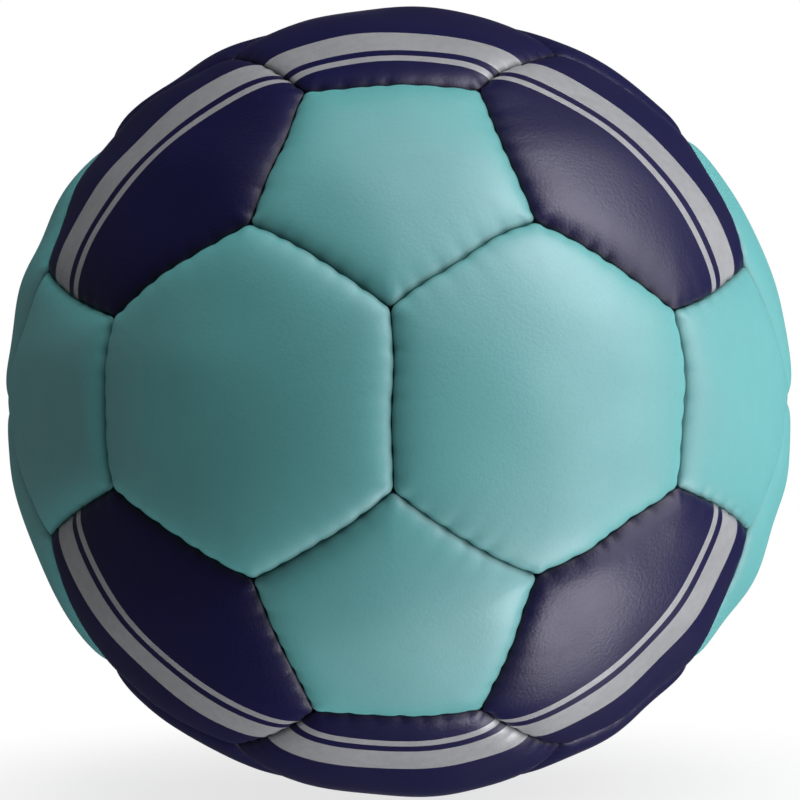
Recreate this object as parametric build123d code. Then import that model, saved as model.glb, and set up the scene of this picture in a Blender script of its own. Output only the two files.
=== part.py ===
from build123d import *
import math
import os

# Hand-stitched handball of 32 padded panels: 20 hexagons and 12 pentagons.
# Millimetres, ball centre at the origin, +Z up, -Y towards the front.

# The ball
ball_circumference = 590.0  # over the crowns of the panels
panel_crown = 1.0  # rise of a panel's middle above its folded edge
seam_gap = 0.3  # between the folded edges of two neighbours
layer_clearance = 0.05  # between bonded layers
bladder_clearance = 0.1  # between the carcass and the bladder

# The layers of a panel
cover_thickness = 1.4
foam_edge_thickness = 2.2
foam_round_limit = 0.7  # largest share of the pad's edge that its rounding takes
lining_thickness = 1.4
bladder_thickness = 1.0
fold_inner_radius = 1.6  # inside of the bend into the seam

# The stitching
stitches_per_seam = 7
stitch_end_margin = 3.0  # from the seam's end to its last stitch
thread_diameter = 0.8
stitch_hole_clearance = 0.15  # around the thread
stitch_lane_clearance = 0.1  # between the thread and the layers beside it

# The valve
valve_stem_diameter = 9.0
valve_foot_diameter = 32.0
valve_foot_thickness = 1.4
valve_inner_length = 7.0  # stem inside the bladder
valve_recess = 0.5  # stem end below the panel's crown
valve_rim_round = 0.4
valve_clearance = 0.15  # around the stem
plug_diameter = 5.0
plug_clearance = 0.05
plug_barb_diameter = 6.6
plug_barb_height = 2.2
needle_hole_diameter = 2.0
needle_mouth_depth = 0.9
needle_mouth_width = 0.7  # widening of the mouth on each side
slit_wall = 1.2  # closed end of the needle hole
slit_width = 0.2

# Radii of the stack, from the crown inwards
ball_radius = ball_circumference / (2 * math.pi)
edge_radius = ball_radius - panel_crown
foam_floor = edge_radius - cover_thickness - layer_clearance - foam_edge_thickness
lining_top = foam_floor - layer_clearance
lining_floor = lining_top - lining_thickness
bladder_radius = lining_floor - bladder_clearance
bladder_inside = bladder_radius - bladder_thickness
fold_outer_radius = fold_inner_radius + cover_thickness
stitch_radius = (edge_radius - fold_outer_radius + lining_floor) / 2
flange_inset = seam_gap / 2 + cover_thickness
lane_width = thread_diameter + 2 * stitch_lane_clearance
pad_inset = flange_inset + lane_width
thread_offset = flange_inset + stitch_lane_clearance + thread_diameter / 2
stitch_hole_diameter = thread_diameter + 2 * stitch_hole_clearance

golden = (1 + math.sqrt(5)) / 2
wide = 2 * golden + 1
SIDES = ((-1, "left"), (1, "right"))
DEPTHS = ((-1, "front"), (1, "back"))
LEVELS = ((1, "upper"), (-1, "lower"))
ENDS = ((1, "top"), (-1, "bottom"))


def pentagon_axes():
    """Directions of the 12 pentagons: the corners of an icosahedron."""
    axes = {}
    for y, depth in DEPTHS:
        for z, level in LEVELS:
            axes[f"pentagon_{depth}_{level}"] = Vector(0, y * golden, z)
    for x, side in SIDES:
        for y, depth in DEPTHS:
            axes[f"pentagon_{side}_{depth}"] = Vector(x * golden, y, 0)
    for z, end in ENDS:
        for x, side in SIDES:
            axes[f"pentagon_{end}_{side}"] = Vector(x, 0, z * golden)
    return axes


def hexagon_axes():
    """Directions of the 20 hexagons: the middles of the icosahedron's faces."""
    axes = {}
    for y, depth in DEPTHS:
        for x, side in SIDES:
            axes[f"hexagon_{depth}_{side}"] = Vector(x * golden, y * wide, 0)
    for z, end in ENDS:
        for y, depth in DEPTHS:
            axes[f"hexagon_{end}_{depth}"] = Vector(0, y * golden, z * wide)
    for x, side in SIDES:
        for z, level in LEVELS:
            axes[f"hexagon_{side}_{level}"] = Vector(x * wide, 0, z * golden)
    for y, depth in DEPTHS:
        for x, side in SIDES:
            for z, level in LEVELS:
                axes[f"hexagon_corner_{depth}_{side}_{level}"] = Vector(x, y, z)
    return axes


def seam_corners(pentagons):
    """The 60 points where three seams meet: two on each edge of the icosahedron."""
    corners = []
    for a in pentagons.values():
        for b in pentagons.values():
            if 1.9 < (a - b).length < 2.1:
                corners.append((a * 2 + b).normalized())
    return corners


def seam_pairs(corners):
    """The 90 seams, each a pair of neighbouring corners."""
    pairs = []
    for i, a in enumerate(corners):
        nearest = sorted(corners, key=lambda c: -a.dot(c))[1:4]
        pairs += [(a, b) for b in nearest if corners.index(b) > i]
    return pairs


class Patch:
    """Plan of one kind of panel: its sides, half angle and crown sphere."""

    def __init__(self, sides, axis, corners):
        self.sides = sides
        spread = math.tan(math.radians(min(axis.get_angle(c) for c in corners)))
        self.half_angle = math.atan(spread * math.cos(math.pi / sides))
        x = edge_radius * math.sin(self.half_angle)
        sink = ball_radius - edge_radius * math.cos(self.half_angle)
        self.crown_radius = (x * x + sink * sink) / (2 * sink)
        self.crown_height = ball_radius - self.crown_radius
        # The side towards +X: its middle, and the way out through its seam plane
        self.middle = Vector(math.sin(self.half_angle), 0, math.cos(self.half_angle))
        self.normal = Vector(math.cos(self.half_angle), 0, -math.sin(self.half_angle))

    def domed(self, inset, depth, edge_round):
        """Ball under the crown, cut flat `inset` inside the seam plane, its rim rounded: one revolve."""
        ball = self.crown_radius - depth
        reach = self.crown_height * math.sin(self.half_angle) - inset
        bend = reach - edge_round
        rim = math.sqrt((ball - edge_round) ** 2 - bend**2)
        turn = math.atan2(rim, bend)
        half = (bend + edge_round * math.cos(turn / 2), rim + edge_round * math.sin(turn / 2))
        touch = (ball * math.cos(turn), ball * math.sin(turn))
        far = (ball * math.cos((turn + math.pi) / 2), ball * math.sin((turn + math.pi) / 2))
        profile = Line((reach, 0), (reach, rim))
        profile += ThreePointArc((reach, rim), half, touch)
        profile += ThreePointArc(touch, far, (-ball, 0))
        profile += Line((-ball, 0), (reach, 0))
        centre = Vector(0, 0, self.crown_height)
        plane = Plane(origin=centre, x_dir=self.normal, z_dir=(0, 1, 0))
        return revolve(plane * make_face(profile), axis=Axis(centre, self.normal))

    def all_sides(self, body):
        """Keep the wedge of a body that belongs to one side and repeat it round the panel's axis."""
        half_turn = 180 / self.sides
        wedge = body
        for way in (1, -1):
            outward = Vector(0, way, 0).rotate(Axis.Z, way * half_turn)
            wedge = split(wedge, Plane(origin=(0, 0, 0), z_dir=outward), keep=Keep.BOTTOM)
        wedges = [Rot(0, 0, (2 * k + 1) * half_turn) * wedge for k in range(self.sides)]
        return wedges[0] + wedges[1:]

    def stitch_holes(self):
        """Cutters for the pricked stitch holes, diamonds square to the folded edge."""
        cutters = []
        for angle in stitch_angles():
            spot = (self.middle * math.cos(angle) + Vector(0, 1, 0) * math.sin(angle)) * stitch_radius
            plane = Plane(origin=spot, x_dir=(0, 1, 0), z_dir=self.normal)
            diamond = RegularPolygon(stitch_hole_diameter / 2, 4, major_radius=False)
            cutters.append(plane * extrude(diamond, amount=flange_inset + lane_width / 2, both=True))
        return cutters


def core(radius):
    """Ball about the centre, its own poles and seam well away from the panel's axis."""
    return Rot(90, 0, 0) * Sphere(radius)


def stitch_angles():
    """Places of the stitches along a seam, as angles from its middle."""
    pitch = (seam_angle - 2 * stitch_end_margin / stitch_radius) / (stitches_per_seam - 1)
    return [(i - (stitches_per_seam - 1) / 2) * pitch for i in range(stitches_per_seam)]


def make_cover(patch):
    """Domed leather cover, its edge folded down and pricked for the stitches."""
    outside = patch.domed(seam_gap / 2, 0, fold_outer_radius)
    pocket = patch.domed(flange_inset, cover_thickness, fold_inner_radius)
    return patch.all_sides(outside - pocket - core(lining_floor) - patch.stitch_holes())


def make_foam_pad(patch):
    """Foam pad under the cover, thickest in the middle."""
    edge_round = min(fold_inner_radius, foam_round_limit * foam_edge_thickness)
    pad = patch.domed(pad_inset, cover_thickness + layer_clearance, edge_round)
    return patch.all_sides(pad - core(foam_floor))


def make_lining(patch):
    """Fabric lining of even thickness under the foam."""
    shell = core(lining_top) - core(lining_floor)
    trimmed = split(shell, Plane(origin=patch.normal * -pad_inset, z_dir=patch.normal), keep=Keep.BOTTOM)
    return patch.all_sides(trimmed)


def make_thread():
    """Running thread of one seam: through the edges and back at every hole."""
    points = []
    side = -1
    for angle in stitch_angles():
        x = stitch_radius * math.sin(angle)
        z = stitch_radius * math.cos(angle)
        points.append((x, side * thread_offset, z))
        points.append((x, -side * thread_offset, z))
        side = -side
    path = Polyline(*points)
    section = Plane(origin=path @ 0, x_dir=(0, 0, 1), z_dir=path % 0) * RegularPolygon(thread_diameter / 2, 6)
    return sweep(section, path=path, transition=Transition.RIGHT)


def make_bladder():
    """Rubber shell, standing in the frame of the valve panel."""
    shell = core(bladder_radius) - core(bladder_inside)
    return shell - Pos(0, 0, bladder_radius) * Cylinder(valve_stem_diameter / 2 + plug_clearance, bladder_radius)


def stem_levels():
    """Heights of the valve stem's two ends along its own axis."""
    foot = bladder_inside - layer_clearance - valve_foot_thickness
    return foot - valve_inner_length, ball_radius - valve_recess


def make_valve_housing():
    """Rubber stem with a round foot that follows the inside of the bladder."""
    low, high = stem_levels()
    foot_top = bladder_inside - layer_clearance
    foot = core(foot_top) - core(foot_top - valve_foot_thickness)
    foot &= Pos(0, 0, foot_top) * Cylinder(valve_foot_diameter / 2, foot_top)
    stem = Pos(0, 0, low) * Cylinder(valve_stem_diameter / 2, high - low, align=(Align.CENTER, Align.CENTER, Align.MIN))
    housing = foot + stem
    bore = Cylinder(plug_diameter / 2 + plug_clearance, 4 * ball_radius)
    housing -= bore
    return fillet(housing.edges().filter_by(GeomType.CIRCLE).sort_by(Axis.Z)[-2:], valve_rim_round)


def make_valve_plug():
    """Barbed rubber plug with a needle hole closed by a slit wall."""
    low, high = stem_levels()
    top = high - valve_rim_round
    barb_top = low - plug_clearance
    barb_end = barb_top - plug_barb_height
    align_low = (Align.CENTER, Align.CENTER, Align.MIN)
    body = Pos(0, 0, barb_top) * Cylinder(plug_diameter / 2, top - barb_top, align=align_low)
    barb = Pos(0, 0, barb_end) * Cone(plug_diameter / 2, plug_barb_diameter / 2, plug_barb_height, align=align_low)
    needle = needle_hole_diameter / 2
    hole_end = barb_end + slit_wall
    hole = Pos(0, 0, hole_end) * Cylinder(needle, top - hole_end, align=align_low)
    mouth_level = top - needle_mouth_depth
    mouth = Pos(0, 0, mouth_level) * Cone(needle, needle + needle_mouth_width, needle_mouth_depth, align=align_low)
    slit = Pos(0, 0, barb_end) * Box(needle_hole_diameter, slit_width, 2 * slit_wall)
    return body + barb - hole - mouth - slit


def panel_frame(axis, corners):
    """Location that turns +Z to the panel's axis and +X to one of its corners."""
    corner = max(corners, key=lambda c: axis.normalized().dot(c))
    return Location(Plane(origin=(0, 0, 0), x_dir=corner - axis.normalized() * corner.dot(axis.normalized()), z_dir=axis))


def seam_frame(pair):
    """Location that turns +Z to the seam's middle and +X along it."""
    a, b = pair
    return Location(Plane(origin=(0, 0, 0), x_dir=b - a, z_dir=a + b))


def save(name, shapes):
    export_step(Compound(children=shapes) if len(shapes) > 1 else shapes[0], f"parts/{name}.step")


pentagons = pentagon_axes()
hexagons = hexagon_axes()
corners = seam_corners(pentagons)
pairs = seam_pairs(corners)
seam_angle = math.radians(pairs[0][0].get_angle(pairs[0][1]))
hexagon = Patch(6, hexagons["hexagon_front_left"], corners)
pentagon = Patch(5, pentagons["pentagon_front_upper"], corners)
valve_panel = "hexagon_back_left"

os.makedirs("parts", exist_ok=True)
kinds = (("hexagon", hexagon, hexagons), ("pentagon", pentagon, pentagons))
for kind, patch, axes in kinds:
    cover = make_cover(patch)
    pad = make_foam_pad(patch)
    lining = make_lining(patch)
    pads = []
    linings = []
    for name, axis in axes.items():
        place = panel_frame(axis, corners)
        if name == valve_panel:
            stem_hole = Cylinder(valve_stem_diameter / 2 + valve_clearance, 4 * ball_radius)
            save(name, [place * (cover - stem_hole)])
            save("valve_foam_pad", [place * (pad - stem_hole)])
            save("valve_lining", [place * (lining - stem_hole)])
            save("bladder", [place * make_bladder()])
            save("valve_housing", [place * make_valve_housing()])
            save("valve_plug", [place * make_valve_plug()])
        else:
            save(name, [place * cover])
            pads.append(place * pad)
            linings.append(place * lining)
    save(f"{kind}_foam_pads", pads)
    save(f"{kind}_linings", linings)

thread = make_thread()
save("seam_threads", [seam_frame(pair) * thread for pair in pairs])
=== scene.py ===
import math

import bpy
import numpy as np
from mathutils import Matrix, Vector


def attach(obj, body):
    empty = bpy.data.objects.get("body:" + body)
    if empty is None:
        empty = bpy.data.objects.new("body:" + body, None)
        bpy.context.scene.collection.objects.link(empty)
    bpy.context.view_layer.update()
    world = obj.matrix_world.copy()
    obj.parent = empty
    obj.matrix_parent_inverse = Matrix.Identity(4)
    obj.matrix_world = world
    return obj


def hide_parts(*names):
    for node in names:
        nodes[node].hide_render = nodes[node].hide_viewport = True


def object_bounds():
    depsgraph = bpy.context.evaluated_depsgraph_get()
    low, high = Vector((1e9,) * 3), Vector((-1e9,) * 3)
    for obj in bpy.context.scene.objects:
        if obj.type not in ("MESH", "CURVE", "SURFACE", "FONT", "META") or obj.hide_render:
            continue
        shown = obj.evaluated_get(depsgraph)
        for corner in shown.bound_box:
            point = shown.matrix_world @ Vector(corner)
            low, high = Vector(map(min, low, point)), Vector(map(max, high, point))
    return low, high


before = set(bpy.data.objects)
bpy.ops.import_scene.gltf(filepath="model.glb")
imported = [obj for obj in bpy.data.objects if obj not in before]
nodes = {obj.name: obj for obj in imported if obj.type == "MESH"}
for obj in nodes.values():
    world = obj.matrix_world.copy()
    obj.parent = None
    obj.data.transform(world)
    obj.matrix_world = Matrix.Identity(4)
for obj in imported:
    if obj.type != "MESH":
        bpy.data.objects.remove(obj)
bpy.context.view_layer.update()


# Bladder
# A round bag of black butyl rubber, moulded in one piece and pumped up inside the carcass.
# The panels hold it all round, and its one hole is closed by the foot of the valve.

bladder_black = (0.020, 0.019, 0.018, 1)
bladder_bloom = (0.065, 0.061, 0.056, 1)
bladder_grain = 0.0012
bloom_scale = 45.0
cloud_contrast = (0.3, 0.7)
rubber_satin = (0.50, 0.68)
rubber_relief = {"Strength": 0.3, "Distance": 0.00008}


def add_node(tree, kind, inputs=None, **settings):
    """A shader node with its settings made, its inputs filled with values or with other nodes' outputs."""
    node = tree.nodes.new(kind)
    for key, value in settings.items():
        setattr(node, key, value)
    for key, value in (inputs or {}).items():
        if isinstance(value, bpy.types.NodeSocket):
            tree.links.new(value, node.inputs[key])
        else:
            node.inputs[key].default_value = value
    return node


def blend(tree, factor, first, second):
    """Colour that goes from first to second with the factor."""
    inputs = {0: factor, 6: first, 7: second}
    return add_node(tree, "ShaderNodeMix", inputs, data_type="RGBA").outputs[2]


def spread(tree, value, low, high, to_low=0.0, to_high=1.0):
    """Value carried from the stretch low to high onto the stretch to_low to to_high, held at its ends."""
    inputs = {"Value": value, "From Min": low, "From Max": high, "To Min": to_low, "To Max": to_high}
    return add_node(tree, "ShaderNodeMapRange", inputs, interpolation_type="SMOOTHSTEP").outputs["Result"]


def new_group(name, inputs, outputs):
    """Empty shader node group with plain value inputs and value outputs."""
    group = bpy.data.node_groups.new(name, "ShaderNodeTree")
    for key, value in inputs.items():
        socket = group.interface.new_socket(key, in_out="INPUT", socket_type="NodeSocketFloat")
        socket.default_value = value
    for key in outputs:
        group.interface.new_socket(key, in_out="OUTPUT", socket_type="NodeSocketFloat")
    given = group.nodes.new("NodeGroupInput").outputs
    result = group.nodes.new("NodeGroupOutput").inputs
    return group, given, result


def place_group(tree, group, **inputs):
    """Outputs of a node group placed in a material with its own values."""
    return add_node(tree, "ShaderNodeGroup", inputs, node_tree=group).outputs


def new_material(name, **sockets):
    """Material with a Principled surface, its plain values set on the sockets; gives the material, its tree
    and the surface."""
    material = bpy.data.materials.new(name)
    material.use_nodes = True
    tree = material.node_tree
    surface = tree.nodes["Principled BSDF"]
    for key, value in sockets.items():
        surface.inputs[key.replace("_", " ")].default_value = value
    return material, tree, surface


def object_place(tree):
    """Coordinates fixed to the ball, in metres."""
    return tree.nodes.new("ShaderNodeTexCoord").outputs["Object"]


def raise_relief(tree, surface, height, relief, **settings):
    """Gives a surface a fine relief: a Bump node on the height, of the relief's strength and distance."""
    bump = add_node(tree, "ShaderNodeBump", {"Height": height, **relief}, **settings)
    tree.links.new(bump.outputs["Normal"], surface.inputs["Normal"])


def make_mottle():
    """Cloudy unevenness: fractal noise on the ball's own coordinates, spread over 0 to 1."""
    group, given, result = new_group("mottle", {"Scale": bloom_scale}, ["Cloud"])
    inputs = {"Vector": object_place(group), "Scale": given["Scale"], "Detail": 4.0, "Roughness": 0.55}
    noise = add_node(group, "ShaderNodeTexNoise", inputs)
    group.links.new(spread(group, noise.outputs["Fac"], *cloud_contrast), result["Cloud"])
    return group


mottle = make_mottle()


def rubber(name, dark, bloom, grain_size):
    """Moulded rubber: dark body, pale bloom in clouds, a fine dull skin."""
    material, tree, surface = new_material(name)
    cloud = place_group(tree, mottle, Scale=bloom_scale)["Cloud"]
    skin = place_group(tree, mottle, Scale=1 / grain_size)["Cloud"]
    tree.links.new(blend(tree, cloud, dark, bloom), surface.inputs["Base Color"])
    tree.links.new(spread(tree, skin, 0, 1, *rubber_satin), surface.inputs["Roughness"])
    raise_relief(tree, surface, skin, rubber_relief)
    return material


def dress(node, material):
    """A solid of the frame keeps its mesh and takes a material."""
    mesh = nodes[node].data
    mesh.materials.clear()
    mesh.materials.append(material)


dress("bladder", rubber("bladder_rubber", bladder_black, bladder_bloom, bladder_grain))


# Valve
# A black rubber stem with a round foot, bonded inside the bladder, and a grey barbed plug pushed into it.
# The stem comes out through the lining, the foam and one panel at the back, just below the leather.

valve_black = (0.016, 0.016, 0.017, 1)
valve_bloom = (0.036, 0.036, 0.037, 1)
stem_grain = 0.0005
plug_grey = (0.055, 0.056, 0.058, 1)
plug_bloom = (0.095, 0.096, 0.098, 1)
plug_grain = 0.0004

dress("valve_housing", rubber("valve_stem_rubber", valve_black, valve_bloom, stem_grain))
dress("valve_plug", rubber("valve_plug_rubber", plug_grey, plug_bloom, plug_grain))


# Linings
# Undyed polyester and cotton cloth, laminated behind the foam of every panel so that it doesn't stretch.
# The cloth is cut with its panel and carries no folds.

cloth_pale = (0.60, 0.56, 0.48, 1)
cloth_shade = (0.33, 0.30, 0.25, 1)
cloth_roughness = 0.85
cloth_cloud_scale = 90.0
cloth_cloud_tone = (0.75, 1.0)
yarn_pitch = 0.0007
yarn_relief = {"Strength": 0.5, "Distance": 0.00015}


def maths(tree, operation, *values):
    """Output of a Math node, its inputs in order."""
    return add_node(tree, "ShaderNodeMath", dict(enumerate(values)), operation=operation).outputs[0]


def make_weave():
    """Crossing yarns: products of sines along each pair of axes, added up and spread over 0 to 1."""
    group, given, result = new_group("weave", {"Pitch": yarn_pitch}, ["Yarn"])
    split = add_node(group, "ShaderNodeSeparateXYZ", {"Vector": object_place(group)})
    turns = [maths(group, "MULTIPLY", axis, 2 * math.pi) for axis in split.outputs]
    wave = [maths(group, "SINE", maths(group, "DIVIDE", turn, given["Pitch"])) for turn in turns]
    crossings = [maths(group, "MULTIPLY", wave[i], wave[i - 1]) for i in range(3)]
    total = maths(group, "ADD", maths(group, "ADD", crossings[0], crossings[1]), crossings[2])
    group.links.new(spread(group, total, -1.0, 1.0), result["Yarn"])
    return group


def lining_cloth():
    """Plain woven cloth, darker between its yarns."""
    material, tree, surface = new_material("lining_cloth", Roughness=cloth_roughness)
    yarn = place_group(tree, make_weave(), Pitch=yarn_pitch)["Yarn"]
    cloud = place_group(tree, mottle, Scale=cloth_cloud_scale)["Cloud"]
    tone = maths(tree, "MULTIPLY", yarn, spread(tree, cloud, 0, 1, *cloth_cloud_tone))
    tree.links.new(blend(tree, tone, cloth_shade, cloth_pale), surface.inputs["Base Color"])
    raise_relief(tree, surface, yarn, yarn_relief)
    return material


cloth = lining_cloth()
for node in ("hexagon_linings", "pentagon_linings", "valve_lining"):
    dress(node, cloth)


# Foam pads
# Closed-cell foam, one pad behind every cover, thickest in the middle and thinned towards its rim.
# Each is glued between the cover and the lining; the one at the valve has a hole for the stem.

foam_cream = (0.72, 0.67, 0.54, 1)
foam_shade = (0.46, 0.41, 0.31, 1)
foam_roughness = 0.95
foam_cell = 0.0006
foam_cloud_scale = 120.0
foam_cloud_tone = (0.6, 1.1)
foam_relief = {"Strength": 0.6, "Distance": 0.0002}

golden = (1 + math.sqrt(5)) / 2
same_cosine = 0.01
circle_within = 0.15
circle_fade = 0.45
WAYS = {
    "left": (-1, 0, 0), "right": (1, 0, 0), "front": (0, -1, 0), "back": (0, 1, 0),
    "upper": (0, 0, 1), "top": (0, 0, 1), "lower": (0, 0, -1), "bottom": (0, 0, -1),
}
valve_panel = "hexagon_back_left"


def unit(vectors):
    """Vectors scaled to length one along their last axis."""
    return vectors / np.linalg.norm(vectors, axis=-1, keepdims=True)


def panel_axis(name):
    """Way that a panel faces: its place words added up. Of two words the first counts golden times more
    on a pentagon and golden squared times more on a hexagon; a corner panel's three words count alike."""
    kind, *words = name.replace("corner_", "").split("_")
    lead = 1 if len(words) == 3 else golden if kind == "pentagon" else golden**2
    return unit(sum(weight * np.array(WAYS[word], float) for weight, word in zip((lead, 1, 1), words)))


def side_count(name):
    """Six for a hexagon, five for a pentagon."""
    return 6 if name.startswith("hexagon") else 5


panel_names = [name for name in nodes if name.split("_")[-1] in WAYS]
axes = {name: panel_axis(name) for name in panel_names}
five = np.array([axes[name] for name in panel_names if side_count(name) == 5])
next_to = np.argwhere(np.abs(five @ five.T - 1 / math.sqrt(5)) < same_cosine)
corners = unit(2 * five[next_to[:, 0]] + five[next_to[:, 1]])

crown_mesh = nodes["hexagon_front_left"].data
crown_points = np.zeros(3 * len(crown_mesh.vertices), np.float32)
crown_mesh.vertices.foreach_get("co", crown_points)
ball_radius = float(np.linalg.norm(crown_points.reshape(-1, 3), axis=1).max())


def panel_turn(name):
    """Rows are the panel's own axes: towards one of its corners, across that, and straight out."""
    out = axes[name]
    corner = corners[np.argmax(corners @ out)]
    first = unit(corner - out * (corner @ out))
    return np.stack([first, np.cross(out, first), out])


def half_angle(sides):
    """Angle from a panel's middle to the middle of its side."""
    name = next(name for name in panel_names if side_count(name) == sides)
    reach = math.acos((corners @ axes[name]).max())
    return math.atan(math.tan(reach) * math.cos(math.pi / sides))


def outline(sides, corner_round, per_side, per_corner):
    """Regular polygon with sides at distance one and arcs of corner_round at its corners: each arc runs from
    one side's way out to the next, each side is a straight run to the next arc. Gives points and ways out."""
    turn = math.pi / sides
    bend = np.linspace(-turn, turn, per_corner, endpoint=False)
    along = np.linspace(-1, 1, per_side, endpoint=False) * (1 - corner_round) * math.tan(turn)
    middle = np.array([(1 - corner_round) / math.cos(turn), 0])
    arc = middle + corner_round * np.stack([np.cos(bend), np.sin(bend)], 1)
    out = np.array([math.cos(turn), math.sin(turn)])
    run = out + along[:, None] * np.array([-out[1], out[0]])
    points = np.concatenate([arc, run])
    ways = np.concatenate([np.stack([np.cos(bend), np.sin(bend)], 1), np.tile(out, (per_side, 1))])
    spin = 2 * turn * np.arange(sides)
    turns = np.stack([np.cos(spin), np.sin(spin), -np.sin(spin), np.cos(spin)], 1).reshape(-1, 2, 2)
    return (points @ turns).reshape(-1, 2), (ways @ turns).reshape(-1, 2)


def panel_shell(sides, profile, corner_round, per_side, per_corner):
    """Closed shell over a panel's plan, in the panel's own axes. The profile's rows are distance from the
    seam, depth below the ball's round and slope; every row becomes a ring, the outline shrunk to that
    distance and thrown onto the ball, going over to a circle towards the middle. A profile that starts in
    the middle closes in two poles, one that starts at a hole closes on itself."""
    inset, depth, slope = (column[:, None, None] for column in profile.T)
    half = half_angle(sides)
    ring, ways = outline(sides, corner_round, per_side, per_corner)
    shrink = np.tan(half - inset / ball_radius) / math.tan(half)
    to_edge = np.clip((shrink - circle_within) / circle_fade, 0, 1)
    to_edge = to_edge**2 * (3 - 2 * to_edge)
    plan = shrink * math.tan(half) * (to_edge * ring + (1 - to_edge) * unit(ring))
    count = plan.shape[:2]
    straight_out = unit(np.concatenate([plan, np.ones(count + (1,))], 2))
    sideways = np.concatenate([np.broadcast_to(ways, count + (2,)), np.zeros(count + (1,))], 2)
    sideways = unit(sideways - (sideways * straight_out).sum(2, keepdims=True) * straight_out)
    normal = np.cos(slope) * straight_out + np.sin(slope) * sideways
    place = (ball_radius - depth) * straight_out
    inset = np.broadcast_to(inset[..., 0], count)
    return place, straight_out, normal, inset


def shell_faces(rings, around, poles):
    """Triangles between neighbouring rings, and fans to the two poles or a last band back to the first ring.
    With poles, the first and last rings are single points, kept as the grid's first and last vertex."""
    first = 1 if poles else 0
    j = np.arange(around)
    k = (j + 1) % around
    start = [first + i * around for i in range(rings)]
    bands = list(zip(start, start[1:])) + ([] if poles else [(start[-1], start[0])])
    near = np.array([band[0] for band in bands])[:, None]
    far = np.array([band[1] for band in bands])[:, None]
    lower = np.stack([near + j, far + j, far + k], 2).reshape(-1, 3)
    upper = np.stack([near + j, far + k, near + k], 2).reshape(-1, 3)
    fans = []
    if poles:
        last = first + rings * around
        fans = [np.stack([np.zeros(around, int), first + j, first + k], 1)]
        fans += [np.stack([np.full(around, last), start[-1] + k, start[-1] + j], 1)]
    return np.concatenate([lower, upper] + fans)


def flat_list(grid, poles):
    """Grid of rings as one list of vertices; with poles, the first and last rings shrink to one vertex."""
    if not poles:
        return grid.reshape(-1, grid.shape[-1])
    return np.concatenate([grid[:1, 0], grid[1:-1].reshape(-1, grid.shape[-1]), grid[-1:, 0]])


def new_piece(name, points, faces, material):
    """Smooth mesh object at the origin, from arrays of points and triangles."""
    mesh = bpy.data.meshes.new(name)
    mesh.from_pydata(points, [], faces)
    mesh.shade_smooth()
    mesh.materials.append(material)
    piece = bpy.data.objects.new(name, mesh)
    bpy.context.scene.collection.objects.link(piece)
    return piece


def foam():
    """Cut foam: cream, with cells that shade it and pit it."""
    material, tree, surface = new_material("panel_foam", Roughness=foam_roughness)
    inputs = {"Vector": object_place(tree), "Scale": 1 / foam_cell}
    cells = add_node(tree, "ShaderNodeTexVoronoi", inputs, feature="SMOOTH_F1").outputs["Distance"]
    cloud = place_group(tree, mottle, Scale=foam_cloud_scale)["Cloud"]
    tone = maths(tree, "MULTIPLY", cells, spread(tree, cloud, 0, 1, *foam_cloud_tone))
    tree.links.new(blend(tree, tone, foam_cream, foam_shade), surface.inputs["Base Color"])
    raise_relief(tree, surface, cells, foam_relief, invert=True)
    return material


cover_thickness = 0.0014
glue_gap = 0.0001
pad_inset = 0.00265
pad_floor = 0.00463
pad_round = 0.0010
pad_top_middle = cover_thickness + glue_gap
pad_top_rim = 0.0030
pad_corner_round = 0.08
pad_side_points = 12
pad_corner_points = 3
pad_top_rings = 9
pad_rim_rings = 5
pad_floor_rings = 5
stem_clearance = 0.00465


def pad_profile(sides, hole):
    """Pad section: the top sinks with the square of the way out, its rim is a quarter round, its floor is
    level. A pad with a hole starts at the hole's edge."""
    reach = half_angle(sides) * ball_radius
    start = reach - hole
    out = np.linspace(0, 1, pad_top_rings)
    inset = start + (pad_inset + pad_round - start) * out
    sink = (pad_top_rim - pad_top_middle) * (1 - inset / reach) ** 2
    top = np.stack([inset, pad_top_middle + sink, np.zeros_like(out)], 1)
    bend = np.linspace(0, math.pi / 2, pad_rim_rings)[1:]
    rim = np.stack([
        pad_inset + pad_round * (1 - np.sin(bend)), top[-1, 1] + pad_round * (1 - np.cos(bend)), bend,
    ], 1)
    back = np.linspace(pad_inset, start, pad_floor_rings)
    floor = np.stack([back, np.full_like(back, pad_floor), np.full_like(back, math.pi)], 1)
    return np.concatenate([top, rim, floor])


foam_finish = foam()
for node in ("hexagon_foam_pads", "pentagon_foam_pads", "valve_foam_pad"):
    at_valve = node == "valve_foam_pad"
    sides = 6 if at_valve else side_count(node)
    profile = pad_profile(sides, stem_clearance if at_valve else 0.0)
    grid = panel_shell(sides, profile, pad_corner_round, pad_side_points, pad_corner_points)[0]
    template = flat_list(grid, not at_valve)
    faces = shell_faces(len(profile) - (0 if at_valve else 2), grid.shape[1], not at_valve)
    mine = [name for name in panel_names if side_count(name) == sides and (name == valve_panel) == at_valve]
    points = np.concatenate([template @ panel_turn(name) for name in mine])
    shifts = len(template) * np.arange(len(mine))
    pads = new_piece(node + "_soft", points, np.concatenate([faces + shift for shift in shifts]), foam_finish)
    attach(pads, "root")
    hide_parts(node)


# Covers
# Hexagons and pentagons of coated synthetic leather, cut flat, domed by the foam and the air behind them,
# their edges folded down and hand-sewn from inside. Sixteen teal ones make a belt round the ball, sixteen
# navy ones the two caps beside it, printed with silver rings before sewing.

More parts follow.
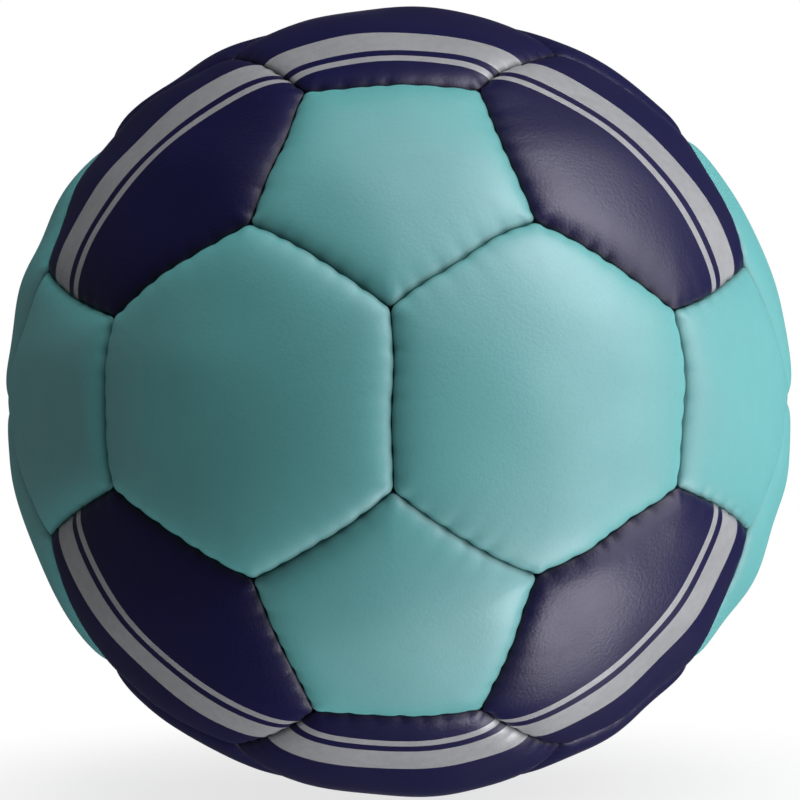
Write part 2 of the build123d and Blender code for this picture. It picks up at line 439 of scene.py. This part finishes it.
teal = (0.130, 0.472, 0.478, 1)
teal_deep = (0.117, 0.441, 0.447, 1)
# Painted seam shade: the teal darkened deep in the seams; the same colour also tints the pores.
teal_seam_shade = (0.020, 0.130, 0.125, 1)
teal_skin = {"ior": 1.8, "satin": (0.46, 0.53), "relief": {"Strength": 0.4, "Distance": 0.00006}}
navy = (0.0050, 0.0050, 0.0560, 1)
navy_deep = (0.0040, 0.0040, 0.0450, 1)
# Painted seam shade for the navy leather; the same colour also tints its pores.
navy_seam_shade = (0.002, 0.002, 0.007, 1)
navy_skin = {"ior": 1.5, "satin": (0.37, 0.44), "relief": {"Strength": 0.85, "Distance": 0.00006}}
silver = (0.62, 0.63, 0.66, 1)
silver_worn = (0.46, 0.47, 0.50, 1)
gloss_level = 0.93
gloss_tint = (0.95, 0.905, 1.0, 1)

half_gap = 0.00003
fold_radius = 0.0006
roll_slope = math.radians(31)
roll_reach = 0.0026
crown_sink = 0.0003
flange_foot = 0.0060
corner_round = 0.0024
hole_lip = 0.0006

crown_rings = 24
crown_crowding = 1.7
fold_rings = 11
flange_rings = 4
lip_rings = 5
inside_rings = [0, 2, 3, 6, 9, 12, 16, 20, 25, 30, 36]
side_points = 56
corner_points = 7

stitches = 7
stitch_margin = 0.0030
stitch_stray = 0.0004
stitch_pull_range = (0.55, 1.35)
dimple_depth = 0.00025
dimple_width = 0.00075
dimple_reach = 0.0012
pit_floor = 0.0030
pit_fade = 3
crease_depth = 0.00010
crease_width = 0.0014
crease_reach = 0.0050
side_bow = 0.0010
bow_reach = 0.0070
bow_foot = 0.0045
seam_wander = 0.00022
wander_waves = 7
wander_length = (0.018, 0.045)
unevenness = 0.00012
uneven_waves = 5
uneven_length = (0.022, 0.060)
uneven_from_seam = 0.006

grain_cell = 0.0007
skin_fineness = 2.2
dome_share = 0.75
skin_share = 0.35
pore_range = (0.45, 0.80)
pore_shade = 0.05
leather_cloud_scale = 38.0
# Reach and strength of the painted shade that darkens the leather towards its seams.
seam_shade_reach_mm = 1.3
seam_shade_strength = 0.6
seam_dullness = 0.15

stripe_angle = math.radians(58.0)
stripe_width = 0.0092
pinstripe_width = 0.0022
pinstripe_gap = 0.0024
ink_metal = 0.45
ink_gloss = 0.05
wear_scale = 420.0
wear_share = 0.35


def cover_profile(sides, hole):
    """Cover section, outside then inside. Outside: the crown sinks with the square of the way out plus an
    exponential roll-off, a circular bend takes over at the roll-off's slope and turns it down into the seam,
    and a straight flange ends it. The inside is the outside moved in by the leather's thickness. At the
    valve the outside starts with a quarter-round lip."""
    reach = half_angle(sides) * ball_radius
    fold_start = half_gap + fold_radius * (1 - math.sin(roll_slope))
    roll_depth = roll_reach * math.tan(roll_slope)
    start = reach - (hole + hole_lip if hole else 0.0)
    inset = fold_start + (start - fold_start) * np.linspace(1, 0, crown_rings) ** crown_crowding
    roll = roll_depth * np.exp((fold_start - inset) / roll_reach)
    slope = roll_depth / roll_reach * np.exp((fold_start - inset) / roll_reach)
    top = np.stack([inset, crown_sink * (1 - inset / reach) ** 2 + roll, np.arctan(slope)], 1)
    bend = np.linspace(roll_slope, math.pi / 2, fold_rings)[1:]
    fold = np.stack([
        half_gap + fold_radius * (1 - np.sin(bend)),
        top[-1, 1] + fold_radius * (math.cos(roll_slope) - np.cos(bend)),
        bend,
    ], 1)
    down = np.linspace(fold[-1, 1], flange_foot, flange_rings)[1:]
    flange = np.stack([np.full_like(down, half_gap), down, np.full_like(down, math.pi / 2)], 1)
    outside = np.concatenate([top, fold, flange])
    back = outside[::-1][inside_rings]
    inside = np.stack([
        back[:, 0] + cover_thickness * np.sin(back[:, 2]),
        back[:, 1] + cover_thickness * np.cos(back[:, 2]),
        back[:, 2] + math.pi,
    ], 1)
    if not hole:
        return np.concatenate([outside, inside])
    curl = np.linspace(math.pi / 2, 0, lip_rings)[:-1]
    lip = np.stack([
        reach - hole - hole_lip * (1 - np.sin(curl)),
        top[0, 1] + hole_lip * (1 - np.cos(curl)),
        -curl,
    ], 1)
    wall = np.array([[reach - hole, inside[-1, 1], -math.pi / 2]])
    return np.concatenate([lip, outside, inside, wall])


seam_span = math.radians(30)
beside_five = 0.93
seam_ends = np.argwhere(np.triu(corners @ corners.T > math.cos(seam_span), 1))
seam_along = unit(corners[seam_ends[:, 1]] - corners[seam_ends[:, 0]])
seam_middle = unit(corners[seam_ends[:, 1]] + corners[seam_ends[:, 0]])
seam_across = np.cross(seam_middle, seam_along)
seam_chord = np.linalg.norm(corners[seam_ends[0, 1]] - corners[seam_ends[0, 0]])
seam_length = ball_radius * 2 * np.arcsin(seam_chord / 2)

nearest_five = five[np.argmax(seam_middle @ five.T, 1)]
to_five = (nearest_five * seam_middle).sum(1, keepdims=True)
seam_bow = unit(nearest_five - to_five * seam_middle) * (to_five > beside_five)

hand = np.random.default_rng(seed=11)
seams = len(seam_ends)
stitch_at = np.linspace(-1, 1, stitches) * (seam_length / 2 - stitch_margin)
stitch_at = stitch_at + hand.normal(0, stitch_stray, (seams, stitches))
stitch_pull = hand.uniform(*stitch_pull_range, (seams, stitches))


def waves(count, shortest, longest, heights):
    """Random plane waves for gentle unevenness: wave vectors, phases, and each wave's heights."""
    way = unit(hand.normal(size=(count, 3)))
    length = hand.uniform(shortest, longest, (count, 1))
    return way * 2 * math.pi / length, hand.uniform(0, 2 * math.pi, count), hand.normal(size=(count, heights))


def ripple(points, wave):
    """Sum of the plane waves at each point, about one high."""
    vector, phase, height = wave
    return np.sin(points @ vector.T + phase) @ height / math.sqrt(len(phase))


def own_seams(name):
    """Numbers of the seams round a panel: those whose middles are nearest to its own."""
    return np.argsort(-seam_middle @ axes[name])[:side_count(name)]


def pulled_in(name, straight_out):
    """How deep the stitches draw the leather in at each point, in metres: bells along the seam at every
    stitch, dying away from the seam; a short deep one is the dimple, a long shallow one the crease."""
    mine = own_seams(name)
    along = ball_radius * straight_out @ seam_along[mine].T
    across = ball_radius * np.abs(straight_out @ seam_across[mine].T)
    apart = along[:, :, None] - stitch_at[mine]
    dimple = (np.exp(-0.5 * (apart / dimple_width) ** 2) * stitch_pull[mine]).sum(2)
    crease = (np.exp(-0.5 * (apart / crease_width) ** 2) * stitch_pull[mine][:, ::-1]).sum(2)
    deep = dimple_depth * dimple * np.exp(-across / dimple_reach)
    shallow = crease_depth * crease * np.exp(-across / crease_reach)
    return (deep + shallow).sum(1)[:, None]


def bowed(name, straight_out):
    """How far the fuller hexagons bow their sides into the pentagons, in metres: a parabola along the side
    towards the pentagon's middle, dying away from the seam as a bell."""
    mine = own_seams(name)
    along = straight_out @ seam_along[mine].T * ball_radius / (seam_length / 2)
    across = straight_out @ seam_across[mine].T * ball_radius / bow_reach
    return side_bow * (np.clip(1 - along**2, 0, 1) * np.exp(-(across**2))) @ seam_bow[mine]


def make_grain():
    """Fine leather grain: domes of soft cells of about the cell size, broken up by noise; gives its height
    and a mask of the pores between the domes."""
    group, given, result = new_group("leather_grain", {"Cell": grain_cell}, ["Height", "Pore"])
    place = object_place(group)
    fine = maths(group, "DIVIDE", 1.0, given["Cell"])
    cells = {"Vector": place, "Scale": fine, "Smoothness": 0.6, "Randomness": 0.9}
    cells = add_node(group, "ShaderNodeTexVoronoi", cells, feature="SMOOTH_F1").outputs["Distance"]
    skin = {"Vector": place, "Scale": maths(group, "MULTIPLY", fine, skin_fineness), "Detail": 3.0}
    skin = add_node(group, "ShaderNodeTexNoise", skin).outputs["Fac"]
    domes = maths(group, "MULTIPLY", maths(group, "SUBTRACT", 1.0, cells), dome_share)
    height = maths(group, "ADD", domes, maths(group, "MULTIPLY", skin, skin_share))
    group.links.new(height, result["Height"])
    group.links.new(spread(group, cells, *pore_range), result["Pore"])
    return group


def make_seam_shade():
    """How near the seam a point of the leather is, the mask of the painted seam shade: one at the seam,
    nothing at Reach millimetres from it.
    """
    group, given, result = new_group("seam_shade", {"Reach": seam_shade_reach_mm}, ["Near"])
    away = add_node(group, "ShaderNodeAttribute", attribute_name="seam_distance").outputs["Fac"]
    group.links.new(spread(group, away, 0.0, given["Reach"], 1.0, 0.0), result["Near"])
    return group


def make_ring_print():
    """Plain rings of ink round the front and back of the ball: the angle from the front-to-back line is
    compared with the wide stripe's and the pinstripe's middles and half widths."""
    group, _, result = new_group("ring_print", {}, ["Ink"])
    way = add_node(group, "ShaderNodeVectorMath", {0: object_place(group)}, operation="NORMALIZE").outputs[0]
    level = add_node(group, "ShaderNodeSeparateXYZ", {"Vector": way}).outputs["Y"]
    angle = maths(group, "ARCCOSINE", maths(group, "ABSOLUTE", level))
    pinstripe_angle = stripe_angle - (stripe_width / 2 + pinstripe_gap + pinstripe_width / 2) / ball_radius
    wide = maths(group, "COMPARE", angle, stripe_angle, stripe_width / 2 / ball_radius)
    thin = maths(group, "COMPARE", angle, pinstripe_angle, pinstripe_width / 2 / ball_radius)
    group.links.new(maths(group, "MAXIMUM", wide, thin), result["Ink"])
    return group


grain = make_grain()
seam_shade = make_seam_shade()
ring_print = make_ring_print()


def leather(name, body, deep, at_seam, ior, satin, relief, printed=False):
    """Coated leather: clouded colour, darker pores, painted shade darkening it towards the seams, a satin
    skin with fine grain, duller at the seams; printed leather has silver rings, worn in fine specks."""
    gloss = {"Specular_IOR_Level": gloss_level, "Specular_Tint": gloss_tint, "IOR": ior}
    material, tree, surface = new_material(name, **gloss)
    cloud = place_group(tree, mottle, Scale=leather_cloud_scale)["Cloud"]
    skin = place_group(tree, grain, Cell=grain_cell)
    near = place_group(tree, seam_shade, Reach=seam_shade_reach_mm)["Near"]
    colour = blend(tree, cloud, body, deep)
    colour = blend(tree, maths(tree, "MULTIPLY", skin["Pore"], pore_shade), colour, at_seam)
    roughness = spread(tree, cloud, 0, 1, *satin)
    if printed:
        ink = place_group(tree, ring_print)["Ink"]
        wear = place_group(tree, mottle, Scale=wear_scale)["Cloud"]
        metal = blend(tree, maths(tree, "MULTIPLY", wear, wear_share), silver, silver_worn)
        colour = blend(tree, ink, colour, metal)
        tree.links.new(maths(tree, "MULTIPLY", ink, ink_metal), surface.inputs["Metallic"])
        roughness = maths(tree, "SUBTRACT", roughness, maths(tree, "MULTIPLY", ink, ink_gloss))
    # Painted shade: the colour goes over to the dark seam colour near each seam.
    colour = blend(tree, maths(tree, "MULTIPLY", near, seam_shade_strength), colour, at_seam)
    roughness = maths(tree, "ADD", roughness, maths(tree, "MULTIPLY", near, seam_dullness))
    tree.links.new(colour, surface.inputs["Base Color"])
    tree.links.new(roughness, surface.inputs["Roughness"])
    raise_relief(tree, surface, skin["Height"], relief)
    return material


leathers = {
    "teal_leather": leather("teal_leather", teal, teal_deep, teal_seam_shade, **teal_skin),
    "navy_leather": leather("navy_leather", navy, navy_deep, navy_seam_shade, **navy_skin, printed=True),
}
wander = waves(wander_waves, *wander_length, heights=3)


def in_belt(name):
    """The teal belt: panels that face front, back or a side more than up or down, corner panels left out."""
    return "corner" not in name and not ("top" in name or "bottom" in name)


for name in panel_names:
    sides = side_count(name)
    at_valve = name == valve_panel
    profile = cover_profile(sides, stem_clearance if at_valve else 0.0)
    apothem = half_angle(sides) * ball_radius
    shell = panel_shell(sides, profile, corner_round / apothem, side_points, corner_points)
    around = shell[0].shape[1]
    place, straight_out, normal = (flat_list(grid, not at_valve) @ panel_turn(name) for grid in shell[:3])
    inset = flat_list(shell[3][..., None], not at_valve)
    padding = waves(uneven_waves, *uneven_length, heights=1)
    away = 1 - np.exp(-inset / uneven_from_seam)
    sunk = ball_radius - np.linalg.norm(place, axis=1, keepdims=True)
    above_pit = np.clip((pit_floor - sunk) / pit_floor * pit_fade, 0, 1)
    above_foot = np.clip(2 - 2 * sunk / bow_foot, 0, 1)
    place = place - normal * pulled_in(name, straight_out) * above_pit
    place = place + unevenness * away * ripple(straight_out * ball_radius, padding) * normal
    place = place + bowed(name, straight_out) * above_foot
    place = place + seam_wander * ripple(straight_out * ball_radius, wander)
    slot = "teal_leather" if in_belt(name) else "navy_leather"
    faces = shell_faces(len(profile) - (0 if at_valve else 2), around, not at_valve)
    cover = new_piece(name + "_cover", place, faces, leathers[slot])
    distance = cover.data.attributes.new("seam_distance", "FLOAT", "POINT")
    distance.data.foreach_set("value", (inset[:, 0] * 1000).astype(np.float32))
    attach(cover, "root")
    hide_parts(name)


# Seam threads
# Waxed polyester thread, one length to a seam, sewn through both folded edges by hand from inside.
# It lies deep in the seam, where only its pull on the leather shows.

thread_dark = (0.030, 0.032, 0.036, 1)
thread_wax = (0.085, 0.085, 0.085, 1)
thread_roughness = 0.5
ply_bands = {"Scale": 900.0, "Distortion": 1.5}
ply_relief = {"Strength": 0.4, "Distance": 0.0001}
wax_scale = 300.0


def waxed_thread():
    """Twisted thread under wax: slanting bands for the plies, pale wax in clouds."""
    material, tree, surface = new_material("waxed_thread", Roughness=thread_roughness)
    bands = {"Vector": object_place(tree), **ply_bands}
    ply = add_node(tree, "ShaderNodeTexWave", bands, bands_direction="DIAGONAL").outputs["Fac"]
    cloud = place_group(tree, mottle, Scale=wax_scale)["Cloud"]
    tone = maths(tree, "MULTIPLY", ply, cloud)
    tree.links.new(blend(tree, tone, thread_dark, thread_wax), surface.inputs["Base Color"])
    raise_relief(tree, surface, ply, ply_relief)
    return material


dress("seam_threads", waxed_thread())


# Studio
# A level camera in front of the ball, softboxes at the right that give the sheen, matt fills round about,
# a white backdrop, and a white floor that fades into it and keeps the ball's soft shadow.

camera_distance = 0.585
camera_lens = 109.2
sensor_width = 36.0
near_clip = 0.01
camera_azimuth = math.radians(0.85)
camera_elevation = math.radians(-0.35)
camera_roll = math.radians(0.48)
picture_shift = (0.00125, 0.0025)

scene = bpy.context.scene
scene.view_settings.view_transform = "Standard"

camera = bpy.data.objects.new("camera", bpy.data.cameras.new("camera"))
level_distance = camera_distance * math.cos(camera_elevation)
camera.location = (
    level_distance * math.sin(camera_azimuth),
    -level_distance * math.cos(camera_azimuth),
    camera_distance * math.sin(camera_elevation),
)
camera.rotation_euler = (math.pi / 2 - camera_elevation, camera_roll, camera_azimuth)
camera.data.lens = camera_lens
camera.data.sensor_width = sensor_width
camera.data.shift_x, camera.data.shift_y = picture_shift
camera.data.clip_start = near_clip
scene.collection.objects.link(camera)
scene.camera = camera

softbox = (0.62, 0.62)
wide_softbox = (0.80, 0.80)
fill_sheet = (1.30, 1.30)
back_lamp = (0.50, 0.50)


def soft_lamp(name, azimuth, elevation, distance, size, power, sheen=True):
    """Square area lamp that looks at the ball's middle; azimuth runs from the camera to the right, angles in
    degrees. A lamp without sheen stands behind crossed polarising filters, so no surface mirrors it."""
    level = distance * math.cos(math.radians(elevation))
    turn = math.radians(azimuth)
    rise = distance * math.sin(math.radians(elevation))
    place = Vector((level * math.sin(turn), -level * math.cos(turn), rise))
    lamp = bpy.data.lights.new(name, "AREA")
    lamp.shape = "RECTANGLE"
    lamp.size, lamp.size_y = size
    lamp.energy = power
    holder = bpy.data.objects.new(name, lamp)
    holder.location = place
    holder.rotation_euler = place.to_track_quat("Z", "Y").to_euler()
    holder.visible_camera = False
    holder.visible_glossy = sheen
    scene.collection.objects.link(holder)


soft_lamp("upper_softbox", 42, 50, 1.0, softbox, 2.0)
soft_lamp("shoulder_softbox", 65, 37, 1.0, softbox, 3.2)
soft_lamp("right_softbox", 60, 0, 1.0, wide_softbox, 3.3)
soft_lamp("lower_softbox", 68, -48, 1.0, softbox, 4.5)
soft_lamp("top_fill", 8, 70, 1.0, softbox, 4.3, sheen=False)
soft_lamp("low_fill", 10, -76, 1.0, softbox, 3.8, sheen=False)
soft_lamp("rim_fill", 112, 0, 1.0, softbox, 5.2, sheen=False)
soft_lamp("left_fill", -106, 0, 1.0, fill_sheet, 2.4, sheen=False)
soft_lamp("back_fill", 180, 0, 1.5, back_lamp, 8.0, sheen=False)

paper_white = (1, 1, 1, 1)
floor_matt = (0.85, 0.85, 0.85, 1)
floor_white_share = 0.74
floor_fade = (0.09, 0.19)
floor_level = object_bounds()[0].z
floor_size = 3.0
floor_mesh = bpy.data.meshes.new("floor")
floor_corners = [(-1, -1, 0), (1, -1, 0), (1, 1, 0), (-1, 1, 0)]
floor_points = np.array(floor_corners, float) * floor_size / 2 + (0, 0, floor_level)
floor_mesh.from_pydata(floor_points, [], [(0, 1, 2, 3)])
floor = bpy.data.objects.new("floor", floor_mesh)
scene.collection.objects.link(floor)
floor.visible_diffuse = False
floor.visible_glossy = False
floor.visible_shadow = False


def mix_shaders(tree, factor, first, second):
    """Shader that goes from first to second with the factor."""
    return add_node(tree, "ShaderNodeMixShader", {0: factor, 1: first, 2: second}).outputs[0]


def floor_paint():
    """White floor: to the camera it is mostly plain white with a share of the light that falls on it, fading
    out with the distance from the ball's middle, and nothing from below; to light it is pale and matt."""
    material = bpy.data.materials.new("floor_paint")
    material.use_nodes = True
    tree = material.node_tree
    tree.nodes.clear()
    light = tree.nodes.new("ShaderNodeLightPath").outputs
    matt = add_node(tree, "ShaderNodeBsdfDiffuse", {"Color": floor_matt}).outputs[0]
    white = add_node(tree, "ShaderNodeEmission", {"Color": paper_white, "Strength": 1.0}).outputs[0]
    clear = add_node(tree, "ShaderNodeBsdfTransparent").outputs[0]
    far = add_node(tree, "ShaderNodeVectorMath", {0: object_place(tree)}, operation="LENGTH").outputs["Value"]
    below = tree.nodes.new("ShaderNodeNewGeometry").outputs["Backfacing"]
    gone = maths(tree, "MAXIMUM", spread(tree, far, *floor_fade), below)
    to_camera = mix_shaders(tree, gone, mix_shaders(tree, floor_white_share, matt, white), clear)
    seen = mix_shaders(tree, light["Is Camera Ray"], matt, to_camera)
    add_node(tree, "ShaderNodeOutputMaterial", {"Surface": seen})
    return material


floor_mesh.materials.append(floor_paint())

ambient = 0.040
backdrop_edge = (0.93, 0.99)


def studio_world():
    """White to the camera all round; reflections see that white behind the ball only, where the backdrop
    hangs; the light that reaches the ball from the room is dim."""
    world = bpy.data.worlds.new("studio")
    world.use_nodes = True
    tree = world.node_tree
    tree.nodes.clear()
    light = tree.nodes.new("ShaderNodeLightPath").outputs
    way = tree.nodes.new("ShaderNodeTexCoord").outputs["Generated"]
    behind = add_node(tree, "ShaderNodeSeparateXYZ", {"Vector": way}).outputs["Y"]
    backdrop = spread(tree, behind, *backdrop_edge)
    mirrored = maths(tree, "MAXIMUM", light["Is Glossy Ray"], light["Is Transmission Ray"])
    shown = maths(tree, "MAXIMUM", light["Is Camera Ray"], maths(tree, "MULTIPLY", mirrored, backdrop))
    strength = spread(tree, shown, 0, 1, ambient, 1.0)
    paper = add_node(tree, "ShaderNodeBackground", {"Color": paper_white, "Strength": strength})
    add_node(tree, "ShaderNodeOutputWorld", {"Surface": paper.outputs[0]})
    return world


scene.world = studio_world()
